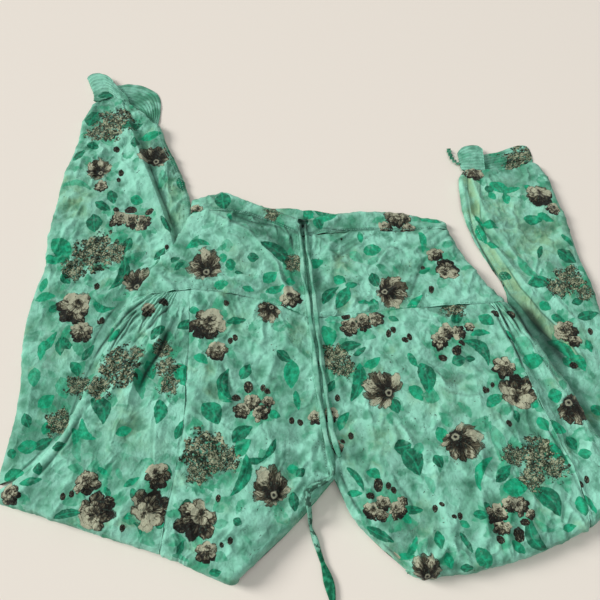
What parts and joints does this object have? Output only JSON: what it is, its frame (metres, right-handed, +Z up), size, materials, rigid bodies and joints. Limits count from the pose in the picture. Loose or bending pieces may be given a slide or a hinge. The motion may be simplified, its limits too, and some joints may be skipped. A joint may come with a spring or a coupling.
{
  "type": "harem pants, laid flat",
  "caption": "Gathered harem trousers in printed cotton, laid flat with a drawstring waist and both legs folded under at the knee.",
  "frame": {"origin": "on the surface that the garment lies on, under the middle of the front yoke", "axes": "+Y towards the waist, +X towards the right of the picture, +Z up from the surface"},
  "size_m": [0.7697, 0.7474, 0.0314],
  "materials": {
    "printed_cotton": "light crumpled cotton voile, mint ground with brown and green flowers",
    "waist_casing": "the same cotton, doubled and topstitched",
    "ankle_cuff": "the same cotton, doubled, with rows of stitching",
    "hidden_cotton": "the same cotton in shade",
    "drawstring": "narrow self-fabric tie"
  },
  "bodies": {
    "root": {"waistband_front_left": "waist_casing", "waistband_front_right": "waist_casing", "waistband_back": "waist_casing", "yoke_front_left": "printed_cotton", "yoke_front_right": "printed_cotton", "leg_front_left": "printed_cotton", "leg_front_right": "printed_cotton", "side_panel_left": "printed_cotton", "side_panel_right": "printed_cotton", "lower_leg_left": "printed_cotton", "lower_leg_right": "printed_cotton", "cuff_left": "ankle_cuff", "cuff_right": "ankle_cuff", "folded_layers_left": "hidden_cotton", "folded_layers_right": "hidden_cotton", "under_layer_left": "hidden_cotton", "under_layer_right": "hidden_cotton", "drawstring_long": "drawstring", "drawstring_short": "drawstring"}
  },
  "joints": []
}
